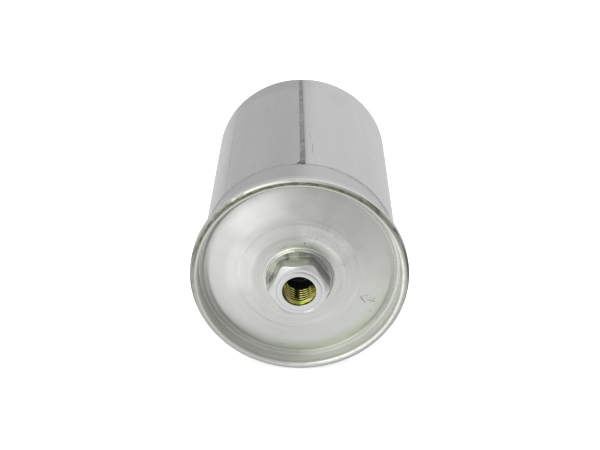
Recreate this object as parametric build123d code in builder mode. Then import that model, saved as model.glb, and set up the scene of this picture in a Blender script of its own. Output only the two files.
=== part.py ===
from build123d import *
from math import cos, radians, sin, tan
import os

# Fuel filter: a drawn steel can with a crimped outlet cover, a threaded port at each end and a
# pleated paper element inside. It lies along Y with the outlet toward -Y and +Z up. Lengths along
# the body are stations, in millimetres behind the front of the crimped rim, and the origin is the
# middle of the whole filter on its own axis.

# ---- driving dimensions (mm) ----
rim_radius = 40.0            # outside of the crimped rim
rim_depth = 4.6              # front to back of the crimped rim
body_radius = 36.4           # outside of the bare can
can_sheet = 0.6
cover_sheet = 0.5
sleeve_sheet = 0.4           # rolled outer sleeve
sleeve_start = 21.5
sleeve_end = 106.3
can_floor = 108.0            # inside face of the can's closed end
outlet_face = -8.2           # outer faces of the two ports
inlet_face = 123.8

outlet_thread_radius = 5.188   # M12 x 1.5, minor radius
outlet_mouth_radius = 6.05
outlet_hex = 20.1              # across flats
inlet_thread_radius = 6.188    # M14 x 1.5, minor radius
inlet_mouth_radius = 7.1
inlet_hex = 22.0
hex_turn = 3.5                 # degrees the hexagons are turned from flat side up
hex_corner = 3.0               # the hexagons are cold formed, with well rounded corners

pleat_count = 48
pleat_tip = 32.0
pleat_root = 15.5
paper_thickness = 0.45
paper_start = 19.8
paper_end = 92.2

# ---- derived places ----
middle = (outlet_face + inlet_face) / 2
body_bore = body_radius - can_sheet
sleeve_radius = body_radius + sleeve_sheet
section = Plane(origin=(0, -middle, 0), x_dir=(1, 0, 0), z_dir=(0, 0, 1))


def face_at(station):
    """A plane square to the filter's axis, seen from the outlet end, with Z up."""
    return Plane(origin=(0, station - middle, 0), x_dir=(1, 0, 0), z_dir=(0, -1, 0))


def bent_sheet(points, radii, thickness, side):
    """Section of a sheet that follows (radius, station) points, with a bend radius at each corner."""
    with BuildSketch(section) as profile:
        with BuildLine():
            FilletPolyline(*points, radius=radii)
            offset(amount=thickness, side=side)
        make_face()
    return profile.sketch


def ring_section(inner, outer, start, end):
    """Section of a plain ring between two radii and two stations."""
    with BuildSketch(section) as profile:
        with Locations(((inner + outer) / 2, (start + end) / 2)):
            Rectangle(outer - inner, end - start)
    return profile.sketch


def turned_section(*points):
    """Section of a turned part from its (radius, station) corners."""
    with BuildSketch(section) as profile:
        with BuildLine():
            Polyline(*points, close=True)
        make_face()
    return profile.sketch


def save(node, label):
    node.part.label = label
    export_step(node.part, f"parts/{label}.step")


os.makedirs("parts", exist_ok=True)

# ---- outlet cover: dished panel, sunk groove and double seam ----
neck_radius = 12.5           # outside of the collar that grips the outlet fitting
neck_bore = neck_radius - cover_sheet
neck_tip = -0.5
hub_level = 0.9
step_inner = 21.5            # pressed step in the panel
step_outer = 22.3
step_level = 1.85
dish_radius = 29.0
dish_level = 3.15
shoulder_radius = 35.3
groove_depth = 5.85
chuck_radius = 37.2          # inner wall of the rim
gap = 0.02                   # clearance between seam layers
can_seam_bore = chuck_radius + cover_sheet + gap
cover_hook = can_seam_bore + can_sheet + 0.04
can_hook_radius = rim_radius - cover_sheet - gap

cover_points = [
    (neck_radius, neck_tip), (neck_radius, hub_level), (17.0, 0.95), (step_inner, 1.6),
    (step_outer, step_level), (dish_radius, dish_level), (33.2, 4.2), (shoulder_radius, 4.95),
    (36.0, groove_depth),
    (chuck_radius, groove_depth), (chuck_radius, 0), (rim_radius, 0), (rim_radius, rim_depth),
    (cover_hook, rim_depth), (cover_hook, 1.75),
]
cover_bends = [1.0, 4.0, 1.0, 1.0, 30.0, 6.0, 0.75, 0.55, 0.55, 0.9, 1.1, 0.8, 0.6]

# Flow arrow pressed in the panel, pointing at the outlet port
arrow_angle = -21.5
arrow_depth = 0.2
arrow_tip = 23.9
arrow_tail = 30.4
arrow_head = 27.0
arrow_half_width = 1.8
arrow_stem = 0.55
arrow_level = 3.65           # level of the panel just outside the arrow's tail

with BuildPart() as arrow_press:
    with BuildSketch(face_at(hub_level)):
        with Locations(Location((0, 0), arrow_angle)):
            Polygon(
                (arrow_tip, 0), (arrow_head, arrow_half_width), (arrow_head, arrow_stem),
                (arrow_tail, arrow_stem), (arrow_tail, -arrow_stem), (arrow_head, -arrow_stem),
                (arrow_head, -arrow_half_width), align=None,
            )
    extrude(amount=-5)
    revolve(
        turned_section(
            (step_outer, 0), (arrow_tail + 0.6, 0), (arrow_tail + 0.6, arrow_level + arrow_depth),
            (dish_radius, dish_level + arrow_depth), (step_outer, step_level + arrow_depth),
        ),
        axis=Axis.Y, mode=Mode.INTERSECT,
    )

with BuildPart() as outlet_cover:
    revolve(bent_sheet(cover_points, cover_bends, cover_sheet, Side.LEFT), axis=Axis.Y)
    add(arrow_press.part, mode=Mode.SUBTRACT)
save(outlet_cover, "outlet_cover")

# ---- canister: one drawn can, its mouth flange hooked into the seam ----
flange_top = 0.75
inlet_neck_bore = 12.0
inlet_neck_tip = 111.2
inlet_hub_level = 109.2

can_points = [
    (can_hook_radius, 3.4), (can_hook_radius, flange_top), (can_seam_bore, flange_top),
    (can_seam_bore, 6.4), (body_bore, 9.9), (body_bore, can_floor), (27.6, can_floor),
    (25.6, inlet_hub_level), (inlet_neck_bore, inlet_hub_level), (inlet_neck_bore, inlet_neck_tip),
]
can_bends = [0.8, 0.8, 3.0, 3.0, 2.2, 1.2, 1.8, 1.2]

with BuildPart() as canister:
    revolve(bent_sheet(can_points, can_bends, can_sheet, Side.RIGHT), axis=Axis.Y)
save(canister, "canister")

# Sealing compound between the cover's crest and the can's flange
compound_inner = 38.15
compound_outer = 39.0
with BuildPart() as seam_compound:
    revolve(
        ring_section(compound_inner, compound_outer, cover_sheet + gap, flange_top - gap), axis=Axis.Y
    )
save(seam_compound, "seam_compound")

# ---- outer sleeve: sheet rolled round the can, its ends meeting at the top ----
seam_near = 1.2              # sideways place of the seam at the near end
seam_far = -0.4
seam_gap_near = 2.0
seam_gap_far = 1.3
corner_round = 1.6           # rounded corner of the sheet at the seam's near end
filler_clearance = 0.01


def seam_strip(inset):
    """Plan of the gap between the sleeve's two edges, made smaller on both sides by inset."""
    near = seam_gap_near / 2 - inset
    far = seam_gap_far / 2 - inset
    start = sleeve_start - middle
    end = sleeve_end - middle
    with BuildSketch(Plane.XY) as plan:
        Polygon(
            (seam_near - near, start), (seam_near + near, start),
            (seam_far + far, end), (seam_far - far, end), align=None,
        )
    return plan.sketch


with BuildPart() as outer_sleeve:
    revolve(ring_section(body_radius, sleeve_radius, sleeve_start, sleeve_end), axis=Axis.Y)
    extrude(seam_strip(0), amount=rim_radius, mode=Mode.SUBTRACT)
    lower_corner = outer_sleeve.edges().filter_by(
        lambda edge: edge.length < 2 * sleeve_sheet and edge.center().Z > 0
    ).group_by(Axis.Y)[0].sort_by(Axis.X)[0]
    fillet(lower_corner, radius=corner_round)
save(outer_sleeve, "outer_sleeve")

# Filler between the sleeve's two edges, flush with the sleeve
with BuildPart() as sleeve_seam_filler:
    revolve(ring_section(body_radius, sleeve_radius, sleeve_start, sleeve_end), axis=Axis.Y)
    extrude(seam_strip(filler_clearance), amount=rim_radius, mode=Mode.INTERSECT)
save(sleeve_seam_filler, "sleeve_seam_filler")


def rounded_hexagon(across_flats, place):
    """Plan of a hexagon with rounded corners, turned as both ports are."""
    with BuildSketch(place) as plan:
        RegularPolygon(across_flats / 2, 6, major_radius=False, rotation=hex_turn)
        fillet(plan.vertices(), radius=hex_corner)
    return plan.sketch


# ---- ports: a hexagon boss outside, a flange inside, and a threaded insert in its bore ----
nut_chamfer = tan(radians(30))
insert_proud = 0.15          # the insert stands this far out of the boss
mouth_depth = 1.0
outlet_insert_radius = 8.05
outlet_insert_end = 7.0
outlet_land = 9.2            # flat face of the boss inside its chamfer
outlet_shoulder = -0.7       # back of the hexagon
outlet_flange_front = 2.6
outlet_flange_back = 4.6
outlet_flange_radius = 15.5
outlet_tail_radius = 8.9
outlet_tail_end = 15.0
outlet_passage = 4.2
outlet_corner = 12.2         # the chamfer's cone is cut out to here
nose_radius = 11.45          # the spigot's chamfered front edge
nose_depth = 0.5

with BuildPart() as outlet_fitting:
    boss_front = outlet_face + insert_proud
    extrude(rounded_hexagon(outlet_hex, face_at(boss_front)), amount=boss_front - outlet_shoulder)
    revolve(
        turned_section(
            (0, boss_front), (outlet_land, boss_front),
            (outlet_corner, boss_front + (outlet_corner - outlet_land) * nut_chamfer),
            (outlet_corner, outlet_shoulder), (0, outlet_shoulder),
        ),
        axis=Axis.Y, mode=Mode.INTERSECT,
    )
    revolve(
        turned_section(
            (0, outlet_shoulder), (nose_radius, outlet_shoulder), (neck_bore, outlet_shoulder + nose_depth),
            (neck_bore, outlet_flange_front), (outlet_flange_radius, outlet_flange_front),
            (outlet_flange_radius, outlet_flange_back), (outlet_tail_radius, outlet_flange_back),
            (outlet_tail_radius, outlet_tail_end), (0, outlet_tail_end),
        ),
        axis=Axis.Y,
    )
    bored = ring_section(0, outlet_insert_radius, boss_front, outlet_insert_end)
    revolve(bored, axis=Axis.Y, mode=Mode.SUBTRACT)
    passage = ring_section(0, outlet_passage, outlet_insert_end, outlet_tail_end)
    revolve(passage, axis=Axis.Y, mode=Mode.SUBTRACT)
save(outlet_fitting, "outlet_fitting")

with BuildPart() as outlet_thread_insert:
    mouth_cone = outlet_mouth_radius - outlet_thread_radius
    revolve(
        turned_section(
            (outlet_mouth_radius, outlet_face), (outlet_insert_radius, outlet_face),
            (outlet_insert_radius, outlet_insert_end), (outlet_thread_radius, outlet_insert_end),
            (outlet_thread_radius, outlet_face + mouth_depth + mouth_cone),
            (outlet_mouth_radius, outlet_face + mouth_depth),
        ),
        axis=Axis.Y,
    )
save(outlet_thread_insert, "outlet_thread_insert")

outlet_seal_front = 1.5
with BuildPart() as outlet_fitting_seal:
    revolve(
        ring_section(neck_bore + 1.7, outlet_flange_radius, outlet_seal_front, outlet_flange_front),
        axis=Axis.Y,
    )
save(outlet_fitting_seal, "outlet_fitting_seal")

inlet_insert_radius = 9.3
inlet_insert_end = 107.4
inlet_land = 10.4
inlet_shoulder = 111.6
inlet_flange_front = 105.4
inlet_flange_back = 107.8
inlet_flange_radius = 15.5
inlet_tail_end = 103.6
inlet_passage = 5.0
inlet_tail_radius = 10.4
inlet_corner = 13.2

with BuildPart() as inlet_fitting:
    boss_back = inlet_face - insert_proud
    extrude(rounded_hexagon(inlet_hex, face_at(inlet_shoulder)), amount=inlet_shoulder - boss_back)
    revolve(
        turned_section(
            (0, boss_back), (inlet_land, boss_back),
            (inlet_corner, boss_back - (inlet_corner - inlet_land) * nut_chamfer),
            (inlet_corner, inlet_shoulder), (0, inlet_shoulder),
        ),
        axis=Axis.Y, mode=Mode.INTERSECT,
    )
    revolve(
        turned_section(
            (0, inlet_shoulder), (inlet_neck_bore, inlet_shoulder), (inlet_neck_bore, inlet_flange_back),
            (inlet_flange_radius, inlet_flange_back), (inlet_flange_radius, inlet_flange_front),
            (inlet_tail_radius, inlet_flange_front), (inlet_tail_radius, inlet_tail_end), (0, inlet_tail_end),
        ),
        axis=Axis.Y,
    )
    bored = ring_section(0, inlet_insert_radius, inlet_insert_end, boss_back)
    revolve(bored, axis=Axis.Y, mode=Mode.SUBTRACT)
    passage = ring_section(0, inlet_passage, inlet_tail_end, inlet_insert_end)
    revolve(passage, axis=Axis.Y, mode=Mode.SUBTRACT)
save(inlet_fitting, "inlet_fitting")

with BuildPart() as inlet_thread_insert:
    mouth_cone = inlet_mouth_radius - inlet_thread_radius
    revolve(
        turned_section(
            (inlet_mouth_radius, inlet_face), (inlet_insert_radius, inlet_face),
            (inlet_insert_radius, inlet_insert_end), (inlet_thread_radius, inlet_insert_end),
            (inlet_thread_radius, inlet_face - mouth_depth - mouth_cone),
            (inlet_mouth_radius, inlet_face - mouth_depth),
        ),
        axis=Axis.Y,
    )
save(inlet_thread_insert, "inlet_thread_insert")

with BuildPart() as inlet_fitting_seal:
    revolve(
        ring_section(inlet_neck_bore + 1.3, inlet_flange_radius, inlet_flange_back, inlet_hub_level - gap),
        axis=Axis.Y,
    )
save(inlet_fitting_seal, "inlet_fitting_seal")

# ---- pleated paper element ----
cap_sheet = 0.5
cap_radius = 33.2            # outside of the element's end caps
cap_bore = cap_radius - cap_sheet
outlet_cap_level = paper_start - 3.0
inlet_cap_level = paper_end + 3.0
cap_lip = 3.6                # how far each cap's skirt reaches along the pleats
grommet_radius = 11.4
grommet_lip = 12.6
grommet_start = 8.6
grommet_end = 14.6

half_pitch = 180 / pleat_count
leg = 0.3                    # half the width of a pleat's pocket


def pleat():
    """One fold of the paper, from the middle of one root to the middle of the next."""
    outer_root = pleat_root + paper_thickness
    x_out = outer_root * cos(radians(half_pitch))
    y_out = outer_root * sin(radians(half_pitch))
    x_in = pleat_root * cos(radians(half_pitch))
    y_in = pleat_root * sin(radians(half_pitch))
    upper = [
        (x_out, y_out), (outer_root, leg + paper_thickness), (pleat_tip, leg + paper_thickness),
    ]
    inner = [
        (pleat_tip - paper_thickness, leg), (pleat_root, leg), (x_in, y_in),
    ]
    lower = [(x, -y) for x, y in reversed(upper)]
    inner_lower = [(x, -y) for x, y in inner]
    with BuildSketch(mode=Mode.PRIVATE) as fold:
        with BuildLine():
            Polyline(*upper, *lower, *reversed(inner_lower), *inner, close=True)
        make_face()
    return fold.sketch


with BuildPart() as pleated_paper:
    with BuildSketch(face_at(paper_start)):
        with PolarLocations(0, pleat_count):
            add(pleat())
    extrude(amount=paper_start - paper_end)
save(pleated_paper, "pleated_paper")

# Sheet clip that closes the paper's two ends over one pleat
clip_sheet = 0.3
clip_inner = leg + paper_thickness + 0.05
clip_foot = 24.0
with BuildPart() as paper_seam_clip:
    with BuildSketch(face_at(paper_start + 1)):
        with BuildLine():
            Polyline(
                (clip_foot, clip_inner), (pleat_tip + 0.05, clip_inner),
                (pleat_tip + 0.05, -clip_inner), (clip_foot, -clip_inner),
            )
            offset(amount=clip_sheet, side=Side.LEFT)
        make_face()
    extrude(amount=paper_start + 1 - (paper_end - 1))
save(paper_seam_clip, "paper_seam_clip")

# Perforated tube that keeps the pleats from collapsing inward
tube_radius = 14.8
tube_bore = 14.2
hole_radius = 1.7
hole_rows = 11
holes_across = 6             # each drilling passes through both sides of the tube
with BuildPart() as centre_tube:
    revolve(
        ring_section(tube_bore, tube_radius, outlet_cap_level + cap_sheet, inlet_cap_level - cap_sheet),
        axis=Axis.Y,
    )
    row_pitch = (paper_end - paper_start - 6) / (hole_rows - 1)
    for row in range(hole_rows):
        row_level = paper_start + 3 + row * row_pitch - middle
        stagger = 90 / holes_across * (row % 2)
        turns = [stagger + 180 / holes_across * number for number in range(holes_across)]
        with Locations(*[Location((0, row_level, 0), (0, turn, 0)) for turn in turns]):
            Cylinder(hole_radius, 3 * tube_radius, mode=Mode.SUBTRACT)
save(centre_tube, "centre_tube")

# End cap on the outlet side, with a neck that holds the grommet
neck_front = 9.4
with BuildPart() as element_outlet_cap:
    revolve(
        bent_sheet(
            [(grommet_radius, neck_front), (grommet_radius, outlet_cap_level + cap_sheet),
             (cap_bore, outlet_cap_level + cap_sheet), (cap_bore, outlet_cap_level + cap_lip)],
            [1.0, 0.6], cap_sheet, Side.RIGHT,
        ),
        axis=Axis.Y,
    )
save(element_outlet_cap, "element_outlet_cap")

# Closed end cap on the inlet side, with a pressed boss that centres the spring
spring_radius = 17.6         # middle of the coil
spring_wire = 1.8
boss_radius = spring_radius - spring_wire
with BuildPart() as element_inlet_cap:
    revolve(
        bent_sheet(
            [(0, inlet_cap_level + 1.1), (boss_radius - 1.4, inlet_cap_level + 1.1),
             (boss_radius - 0.6, inlet_cap_level - cap_sheet), (cap_bore, inlet_cap_level - cap_sheet),
             (cap_bore, inlet_cap_level - cap_lip)],
            [0.8, 0.8, 0.6], cap_sheet, Side.LEFT,
        ),
        axis=Axis.Y,
    )
save(element_inlet_cap, "element_inlet_cap")

# Plastisol rings that pot the pleat ends in the caps
with BuildPart() as outlet_cap_potting:
    revolve(ring_section(pleat_root, pleat_tip, outlet_cap_level + cap_sheet, paper_start), axis=Axis.Y)
save(outlet_cap_potting, "outlet_cap_potting")

with BuildPart() as inlet_cap_potting:
    revolve(ring_section(pleat_root + 1.5, pleat_tip, paper_end, inlet_cap_level - cap_sheet), axis=Axis.Y)
save(inlet_cap_potting, "inlet_cap_potting")

# Rubber grommet between the outlet fitting's tail and the cap's neck
with BuildPart() as outlet_grommet:
    revolve(
        turned_section(
            (outlet_tail_radius, grommet_start), (grommet_lip, grommet_start),
            (grommet_lip, neck_front - gap), (grommet_radius, neck_front - gap),
            (grommet_radius, grommet_end), (outlet_tail_radius, grommet_end),
        ),
        axis=Axis.Y,
    )
save(outlet_grommet, "outlet_grommet")

# ---- lint strainer after the paper: a moulded cage with a gauze tube round its ribs ----
cage_start = outlet_cap_level + cap_sheet + gap
cage_end = 52.0
cage_floor = 1.6
cage_radius = 9.8
flange_depth = 1.4
rib_count = 6
cage_mouth = 7.6
rib_depth = 1.6
rib_width = 1.4
with BuildPart() as strainer_cage:
    revolve(
        ring_section(cage_mouth, tube_bore - 0.2, cage_start, cage_start + flange_depth), axis=Axis.Y
    )
    with BuildSketch(face_at(cage_start)):
        with PolarLocations(cage_radius - rib_depth / 2, rib_count):
            Rectangle(rib_depth, rib_width)
    extrude(amount=cage_start - cage_end)
    revolve(ring_section(0, cage_radius + 0.6, cage_end - cage_floor, cage_end), axis=Axis.Y)
save(strainer_cage, "strainer_cage")

gauze_inner = cage_radius + 0.05
gauze_outer = cage_radius + 0.28
with BuildPart() as strainer_gauze:
    revolve(
        ring_section(gauze_inner, gauze_outer, cage_start + flange_depth, cage_end - cage_floor),
        axis=Axis.Y,
    )
save(strainer_gauze, "strainer_gauze")

# ---- support plate that centres the element in the can ----
plate_level = 13.2
plate_sheet = 0.8
plate_radius = body_bore - 0.15
plate_neck = 12.9
slot_radius = 24.5
slot_sweep = 24              # degrees
with BuildPart() as support_plate:
    revolve(
        bent_sheet(
            [(plate_neck, 11.6), (plate_neck, plate_level), (plate_radius, plate_level),
             (plate_radius, plate_level + 4.2)],
            [1.0, 1.4], plate_sheet, Side.LEFT,
        ),
        axis=Axis.Y,
    )
    with BuildSketch(face_at(plate_level)):
        with PolarLocations(0, 8):
            SlotArc(CenterArc((0, 0), slot_radius, -slot_sweep / 2, slot_sweep), 6.0)
    extrude(amount=2 * plate_sheet, both=True, mode=Mode.SUBTRACT)
save(support_plate, "support_plate")

# ---- spring that holds the element against the outlet, and its seat round the inlet ----
seat_front = 105.6
spring_start = inlet_cap_level + gap + spring_wire / 2
spring_end = seat_front - gap - spring_wire / 2
spring_turns = 3.0
with BuildPart() as element_spring:
    with BuildLine() as coil:
        Helix(
            pitch=(spring_end - spring_start) / spring_turns, height=spring_end - spring_start,
            radius=spring_radius, center=(0, spring_start - middle, 0), direction=(0, 1, 0),
        )
    with BuildSketch(Plane(origin=coil.line @ 0, z_dir=coil.line % 0)):
        Circle(spring_wire / 2)
    sweep(is_frenet=True)
save(element_spring, "element_spring")

with BuildPart() as spring_seat:
    revolve(
        bent_sheet(
            [(inlet_flange_radius + 0.2, can_floor - gap), (inlet_flange_radius + 0.2, seat_front),
             (21.0, seat_front), (21.0, seat_front - 2.2)],
            [0.9, 0.9], 0.7, Side.LEFT,
        ),
        axis=Axis.Y,
    )
    with BuildSketch(face_at(can_floor)):
        with PolarLocations(inlet_flange_radius + 0.4, 6):
            Rectangle(5, 4)
    extrude(amount=1.8, mode=Mode.SUBTRACT)
save(spring_seat, "spring_seat")
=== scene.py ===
import math

import bmesh
import bpy
import numpy as np
from mathutils import Matrix, Vector


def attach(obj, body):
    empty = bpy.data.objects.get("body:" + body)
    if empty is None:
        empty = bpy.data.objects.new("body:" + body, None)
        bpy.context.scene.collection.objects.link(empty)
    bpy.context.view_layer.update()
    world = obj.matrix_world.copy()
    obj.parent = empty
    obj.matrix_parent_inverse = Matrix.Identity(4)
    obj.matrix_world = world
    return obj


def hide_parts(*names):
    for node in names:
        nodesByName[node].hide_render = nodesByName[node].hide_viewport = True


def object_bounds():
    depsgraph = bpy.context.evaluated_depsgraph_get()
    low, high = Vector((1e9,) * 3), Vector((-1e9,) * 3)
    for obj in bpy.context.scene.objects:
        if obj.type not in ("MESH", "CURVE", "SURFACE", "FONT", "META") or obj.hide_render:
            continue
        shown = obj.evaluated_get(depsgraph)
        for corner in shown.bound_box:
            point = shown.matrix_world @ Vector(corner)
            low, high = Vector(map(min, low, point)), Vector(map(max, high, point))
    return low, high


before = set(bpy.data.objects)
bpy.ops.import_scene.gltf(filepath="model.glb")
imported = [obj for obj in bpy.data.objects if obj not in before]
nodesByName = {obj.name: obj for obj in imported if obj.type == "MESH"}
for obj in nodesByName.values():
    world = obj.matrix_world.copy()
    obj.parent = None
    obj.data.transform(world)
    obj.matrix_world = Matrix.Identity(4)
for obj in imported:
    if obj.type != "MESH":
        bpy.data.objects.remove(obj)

mm = 0.001
cadLow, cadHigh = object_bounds()
outletFace = -8.2        # the outlet port's face, in mm behind the front of the rim
axisMiddle = outletFace + (cadHigh.y - cadLow.y) / mm / 2
scene = bpy.context.scene


# shapes: everything is a path of (radius, station) carried round the axis

def smooth(value, start, end):
    t = np.clip((value - start) / (end - start), 0, 1)
    return t * t * (3 - 2 * t)


def roundedPath(corners, radii, steps, arcStep=0.12):
    # a polyline with an arc at each inner corner; steps is the point spacing on each straight run
    corners = [np.array(c, float) for c in corners]
    path = [corners[0]]
    for i in range(1, len(corners)):
        runStep = steps if np.isscalar(steps) else steps[i - 1]
        if i == len(corners) - 1:
            start, arc = corners[i], []
        else:
            before = corners[i] - corners[i - 1]
            after = corners[i + 1] - corners[i]
            lengthBefore, lengthAfter = np.linalg.norm(before), np.linalg.norm(after)
            before, after = before / lengthBefore, after / lengthAfter
            turn = math.atan2(before[0] * after[1] - before[1] * after[0], before @ after)
            reach = min(radii[i - 1] * math.tan(abs(turn) / 2), 0.49 * lengthBefore, 0.49 * lengthAfter)
            radius = reach / math.tan(abs(turn) / 2)
            start = corners[i] - before * reach
            side = np.array([-before[1], before[0]]) * math.copysign(1, turn)
            centre = start + side * radius
            count = max(2, math.ceil(radius * abs(turn) / arcStep))
            arc = []
            for k in range(1, count + 1):
                a = turn * k / count
                spoke = -side * radius
                arc.append(centre + np.array([
                    spoke[0] * math.cos(a) - spoke[1] * math.sin(a),
                    spoke[0] * math.sin(a) + spoke[1] * math.cos(a),
                ]))
        run = start - path[-1]
        count = max(1, round(np.linalg.norm(run) / runStep))
        origin = path[-1]
        path += [origin + run * k / count for k in range(1, count + 1)]
        path += arc
    return np.array(path)


def sheetLoop(path, thickness, side, backEvery=2):
    # the closed outline of a sheet whose one face follows path; side is 1 for left of travel, -1 for right
    tangent = np.gradient(path, axis=0)
    tangent /= np.linalg.norm(tangent, axis=1)[:, None]
    away = np.stack([-tangent[:, 1], tangent[:, 0]], 1) * side
    back = (path + away * thickness)[::-1]
    keep = np.zeros(len(back), bool)
    keep[::backEvery] = True
    keep[0] = keep[-1] = True
    capCount = 4

    def cap(at, out, across):
        angles = np.linspace(0, math.pi, capCount + 2)[1:-1]
        centre = at + across * thickness / 2
        return np.array([
            centre + (-across * math.cos(a) + out * math.sin(a)) * thickness / 2 for a in angles
        ])

    endCap = cap(path[-1], tangent[-1], away[-1])
    startCap = cap(path[0], -tangent[0], away[0])[::-1]
    return np.concatenate([path, endCap, back[keep], startCap])


def addObject(name, data):
    made = bpy.data.objects.new(name, data)
    scene.collection.objects.link(made)
    return made


def roundMesh(name, radius, station, angle, faces, sharpAngle, outward=False):
    # rows of points given as (radius, station, angle), with their faces, become one smooth piece
    places = np.stack([radius * np.cos(angle), station - axisMiddle, radius * np.sin(angle)], -1) * mm
    mesh = bpy.data.meshes.new(name)
    mesh.from_pydata(places.reshape(-1, 3).tolist(), [], faces)
    mesh.validate()
    if outward:
        work = bmesh.new()
        work.from_mesh(mesh)
        bmesh.ops.recalc_face_normals(work, faces=work.faces)
        work.to_mesh(mesh)
        work.free()
    mesh.shade_smooth()
    mesh.set_sharp_from_angle(angle=math.radians(sharpAngle))
    return addObject(name, mesh)


def gridMesh(name, radius, station, angle):
    # radius, station and angle are (columns, points) arrays; every column is one closed outline
    area = 0.5 * np.sum(radius[0] * np.roll(station[0], -1) - np.roll(radius[0], -1) * station[0])
    if area < 0:
        radius, station, angle = radius[:, ::-1], station[:, ::-1], angle[:, ::-1]
    columns, points = radius.shape
    i = np.arange(columns)[:, None]
    j = np.arange(points)[None, :]
    nextColumn = (i + 1) % columns
    nextPoint = (j + 1) % points
    faces = np.stack([
        i * points + j, i * points + nextPoint, nextColumn * points + nextPoint, nextColumn * points + j,
    ], -1).reshape(-1, 4)
    return roundMesh(name, radius, station, angle, faces.tolist(), 38)


def tubeMesh(name, radius, station, angle):
    # each row is a closed flat outline of 2n points, outer face then inner face; strips close the two ends
    rows, points = radius.shape
    faces = []
    for k in range(rows - 1):
        for j in range(points):
            nextJ = (j + 1) % points
            faces.append((k * points + j, k * points + nextJ, (k + 1) * points + nextJ, (k + 1) * points + j))
    for k, step in ((0, -1), (rows - 1, 1)):
        for j in range(points // 2 - 1):
            strip = [j, j + 1, points - 2 - j, points - 1 - j][::step]
            faces.append([k * points + at for at in strip])
    return roundMesh(name, radius, station, angle, faces, 50, outward=True)


def turnedMesh(name, loop, angles, warp=None):
    radius = np.repeat(loop[None, :, 0], len(angles), 0)
    station = np.repeat(loop[None, :, 1], len(angles), 0)
    angle = np.repeat(angles[:, None], len(loop), 1)
    if warp:
        radius, station = warp(radius, station, angle)
    return gridMesh(name, radius, station, angle)


def evenAngles(count):
    return np.arange(count) * 2 * math.pi / count


def ripples(angle, along, seed, turns, pitches, count=14):
    # a smooth random field round the axis: whole waves in angle, free waves along the other way
    draw = np.random.default_rng(seed)
    field = np.zeros(np.broadcast(angle, along).shape)
    for _ in range(count):
        waves = draw.integers(turns[0], turns[1] + 1)
        pitch = draw.uniform(*pitches)
        shift = draw.uniform(0, 2 * math.pi, 2)
        field += np.cos(waves * angle + shift[0]) * np.cos(2 * math.pi * along / pitch + shift[1])
    return field / math.sqrt(count)


def shapeDistance(x, y, corners):
    # signed distance to a closed outline, negative inside
    corners = np.array(corners, float)
    nearest = np.full(x.shape, 1e9)
    inside = np.zeros(x.shape, bool)
    for a, b in zip(corners, np.roll(corners, -1, 0)):
        edge = b - a
        t = np.clip(((x - a[0]) * edge[0] + (y - a[1]) * edge[1]) / (edge @ edge), 0, 1)
        nearest = np.minimum(nearest, np.hypot(x - a[0] - t * edge[0], y - a[1] - t * edge[1]))
        crosses = (a[1] > y) != (b[1] > y)
        with np.errstate(divide="ignore", invalid="ignore"):
            at = a[0] + (y - a[1]) * edge[0] / edge[1]
        inside ^= crosses & (x < at)
    return np.where(inside, -nearest, nearest)


# node helpers, and the groups that the finishes share

def feed(tree, socket, value):
    # a socket's output is linked, a plain value is set
    if isinstance(value, bpy.types.NodeSocket):
        tree.links.new(value, socket)
    else:
        socket.default_value = value


def put(tree, kind, inputs=None, **settings):
    made = tree.nodes.new(kind)
    for name, value in settings.items():
        setattr(made, name, value)
    for name, value in (inputs or {}).items():
        feed(tree, made.inputs[name], value)
    return made


def maths(tree, operation, *values, clamp=False):
    made = put(tree, "ShaderNodeMath", dict(enumerate(values)), operation=operation, use_clamp=clamp)
    return made.outputs[0]


def chain(tree, operation, first, *others):
    for value in others:
        first = maths(tree, operation, first, value)
    return first


def times(tree, *values):
    return chain(tree, "MULTIPLY", *values)


def plus(tree, *values):
    return chain(tree, "ADD", *values)


def minus(tree, *values):
    return chain(tree, "SUBTRACT", *values)


def largest(tree, *values):
    return chain(tree, "MAXIMUM", *values)


def ramp(tree, value, low, high, toLow=0.0, toHigh=1.0):
    made = put(tree, "ShaderNodeMapRange", {
        "Value": value, "From Min": low, "From Max": high, "To Min": toLow, "To Max": toHigh,
    }, interpolation_type="SMOOTHSTEP")
    return made.outputs["Result"]


def mixColour(tree, factor, first, second, blend="MIX"):
    made = put(tree, "ShaderNodeMix", {0: factor, 6: first, 7: second}, data_type="RGBA", blend_type=blend)
    return made.outputs[2]


def mixValue(tree, factor, first, second):
    return put(tree, "ShaderNodeMix", {0: factor, 2: first, 3: second}, data_type="FLOAT").outputs[0]


def combine(tree, x=0.0, y=0.0, z=0.0):
    return put(tree, "ShaderNodeCombineXYZ", {"X": x, "Y": y, "Z": z}).outputs[0]


def stretch(tree, vector, scale):
    return put(tree, "ShaderNodeVectorMath", {0: vector, 1: scale}, operation="MULTIPLY").outputs[0]


def noise(tree, vector, scale, detail=2.0, roughness=0.5, distortion=0.0):
    return put(tree, "ShaderNodeTexNoise", {
        "Vector": vector, "Scale": scale, "Detail": detail, "Roughness": roughness, "Distortion": distortion,
    }).outputs["Fac"]


def axisPlace(group, given):
    # where a point is on the filter: radius and station in mm, angle in radians from the right
    place = put(group, "ShaderNodeTexCoord").outputs["Object"]
    scaled = put(group, "ShaderNodeVectorMath", {0: place, "Scale": 1 / mm}, operation="SCALE").outputs[0]
    across, along, up = put(group, "ShaderNodeSeparateXYZ", {0: scaled}).outputs
    radius = maths(group, "SQRT", plus(group, times(group, across, across), times(group, up, up)))
    angle = maths(group, "ARCTAN2", up, across)
    station = plus(group, along, axisMiddle)
    wall = combine(group, times(group, angle, radius), station)
    return {"Radius": radius, "Angle": angle, "Station": station, "Place": scaled, "Wall": wall}


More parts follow.
